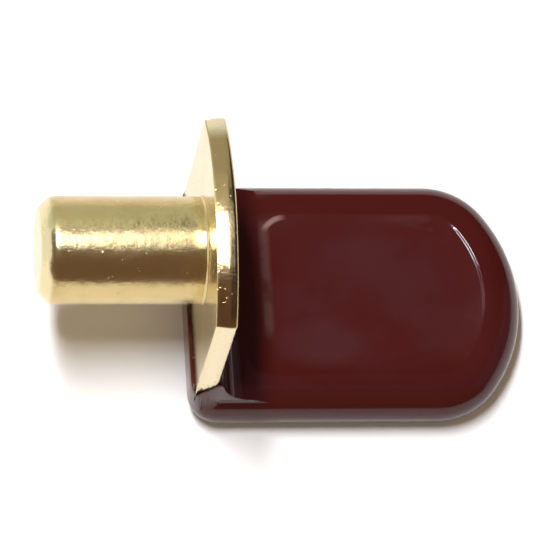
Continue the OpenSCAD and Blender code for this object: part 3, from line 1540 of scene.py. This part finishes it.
@dataclass
class Studio:
    """The floor, the lamps, the panels, the pale surroundings and the camera."""

    floor_z: float = -7.61
    floor_half: float = 900.0
    floor_colour: Colour = (0.86, 0.86, 0.86)
    glow: float = 0.05
    far_glow: float = 0.9
    glow_reach: Range = (30.0, 260.0)
    clear_mm: float = 0.05
    surround: Colour = (0.255, 0.170, 0.092)
    azimuth: float = -20.44
    elevation: float = 65.08
    roll: float = 18.631
    target: Point = (3.544, -1.486, 0.0)
    distance: float = 200.0
    lens: float = 279.13
    sensor: float = 36.0
    clip_m: Range = (0.01, 10.0)
    lamps: tuple[Lamp, ...] = (
        Lamp("key_lamp", (-74.0, 15.0, 290.0), (-74.0, 15.0, 0.0), (30.0, 140.0), 1.12,
             (0.97, 0.99, 1.04)),
    )
    cards: tuple[Card, ...] = (
        Card("near_flag", (0.0, -34.0, 33.7), (90.0, 0.0, 41.3), (0.19, 0.12, 0.09)),
        Card("far_card", (-36.0, 36.0, 42.5), (44.5, 0.0, 40.0), (0.68, 0.72, 0.66)),
        Card("far_card_top", (-38.0, 35.5, 60.2), (42.5, 0.0, 22.3), (0.82, 0.90, 0.80)),
        Card("pin_glow", (1.3, -1.0, 45.0), (2.1, 8.0, 0.0), (1.0, 1.02, 1.15), 1.3),
        Card("tip_glow", (-4.8, -2.0, 45.0), (2.4, 11.5, 0.0), (1.0, 1.05, 1.35), 5.0),
        Card("root_glow", (4.6, 2.0, 44.5), (0.8, 19.0, 0.0), (1.0, 1.02, 1.15), 2.6),
        Card("crown_glow", (5.4, 8.0, 45.0), (2.0, 8.0, 0.0), (1.0, 1.04, 1.25), 3.0),
        Card("gap_light", (64.0, 49.0, 290.0), (2.2, 2.4, 0.0), (1.0, 0.98, 0.98), 2.0),
        Card("right_dim", (80.0, 0.0, 40.0), (0.0, 70.0, 37.0), (0.16, 0.15, 0.20)),
        Card("near_table", (0.0, -33.5, -5.0), (90.0, 0.0, 2.6), (1.00, 0.97, 0.95)),
        Card("far_table", (0.0, 36.0, -2.6), (100.0, 0.0, 5.0), (1.00, 0.96, 0.92)),
        Card("far_flag", (58.5, 36.0, 42.5), (50.0, 0.0, 40.0), (0.05, 0.05, 0.055)),
        Card("left_wall", (-75.0, 0.0, 20.0), (0.0, 70.0, 27.6), (1.05, 1.02, 1.00)),
        Card("right_wall", (80.0, 0.0, -2.6), (0.0, 70.0, 5.0), (0.90, 0.88, 0.86)),
        Card("ceiling", (0.0, 0.0, 420.0), (700.0, 700.0, 0.0), (0.100, 0.094, 0.112)),
    )

    def floor(self) -> bpy.types.Object:
        """Lays the plain pale floor under the part.

        It glows a little for the camera and in reflections, and more with the distance from the
        part. It is clear from below, and to rays that meet it at once, so that the sleeve's
        underside isn't shaded by the hair's breadth between them.

        Returns:
            The floor's object.
        """
        h, z = self.floor_half * MM, self.floor_z * MM
        mesh = bpy.data.meshes.new("floor")
        mesh.from_pydata([(-h, -h, z), (h, -h, z), (h, h, z), (-h, h, z)], [], [(0, 1, 2, 3)])
        g = Graph("floor_paper")
        x, y, _ = g.parts(g.place())
        away = (x**2.0 + y**2.0) ** 0.5
        lift = g.ramp(away, *self.glow_reach, 0.0, self.far_glow) + self.glow
        lift = Wire(g, background_ray(g.tree)) * lift
        matte = g.node("ShaderNodeBsdfDiffuse", Color=self.floor_colour)
        shine = g.node("ShaderNodeEmission", Color=(1.0, 1.0, 1.0), Strength=lift)
        both = g.node("ShaderNodeAddShader")
        for shader, socket in zip((matte, shine), both.inputs):
            g.tree.links.new(shader.outputs[0], socket)
        clear = g.node("ShaderNodeBsdfTransparent")
        side = g.node("ShaderNodeNewGeometry")
        travelled = Wire(g, g.node("ShaderNodeLightPath").outputs["Ray Length"])
        touching = g.math("LESS_THAN", travelled, self.clear_mm * MM)
        back = g.math("MAXIMUM", Wire(g, side.outputs["Backfacing"]), touching)
        sheet = g.node("ShaderNodeMixShader")
        for wire, socket in zip((back.socket, both.outputs[0], clear.outputs[0]), sheet.inputs):
            g.tree.links.new(wire, socket)
        mesh.materials.append(g.shown(sheet))
        piece = placed("floor", mesh)
        return piece

    def surroundings(self) -> None:
        """Fills the room with even soft light, and with white for the camera and reflections."""
        world = bpy.data.worlds.new("room")
        bpy.context.scene.world = world
        world.use_nodes = True
        tree = world.node_tree
        tree.nodes.clear()
        choose = tree.nodes.new("ShaderNodeMixShader")
        tree.links.new(background_ray(tree), choose.inputs[0])
        for colour, socket in zip((self.surround, (1.0, 1.0, 1.0)), choose.inputs[1:]):
            light = tree.nodes.new("ShaderNodeBackground")
            light.inputs["Color"].default_value = (*colour, 1.0)
            tree.links.new(light.outputs[0], socket)
        output = tree.nodes.new("ShaderNodeOutputWorld")
        tree.links.new(choose.outputs[0], output.inputs["Surface"])

    def camera(self) -> bpy.types.Object:
        """Sets the camera up at its azimuth, elevation and roll about the target.

        Returns:
            The camera's object.
        """
        az, el, roll = (math.radians(v) for v in (self.azimuth, self.elevation, self.roll))
        back = Vector(
            (math.sin(az) * math.cos(el), -math.cos(az) * math.cos(el), math.sin(el))
        )
        level = Vector((math.cos(az), math.sin(az), 0.0))
        above = back.cross(level)
        right = level * math.cos(roll) + above * math.sin(roll)
        up = above * math.cos(roll) - level * math.sin(roll)
        place = (Vector(self.target) + back * self.distance) * MM
        data = bpy.data.cameras.new("camera")
        data.sensor_width = self.sensor
        data.lens = self.lens
        data.clip_start, data.clip_end = self.clip_m
        camera = placed("camera", data)
        turn = Matrix((right, up, back)).transposed().to_4x4()
        camera.matrix_world = Matrix.Translation(place) @ turn
        bpy.context.scene.camera = camera
        return camera

    def build(self) -> None:
        """Sets up the whole studio."""
        self.floor()
        self.surroundings()
        for lamp in self.lamps:
            lamp.build()
        for card in self.cards:
            card.build()
        self.camera()
        bpy.context.scene.view_settings.view_transform = "Standard"


def report(piece: bpy.types.Object) -> None:
    """Logs a finished piece's name and how many faces it has."""
    LOG.info("%s: %d faces", piece.name, len(piece.data.polygons))


def main() -> None:
    """Builds the studio and the three pieces in order."""
    logging.basicConfig(level=logging.INFO, format="%(name)s %(message)s")
    Studio().build()
    for part in (Pin(), Bracket(), Sleeve()):
        report(part.build())


if __name__ == "__main__":
    main()
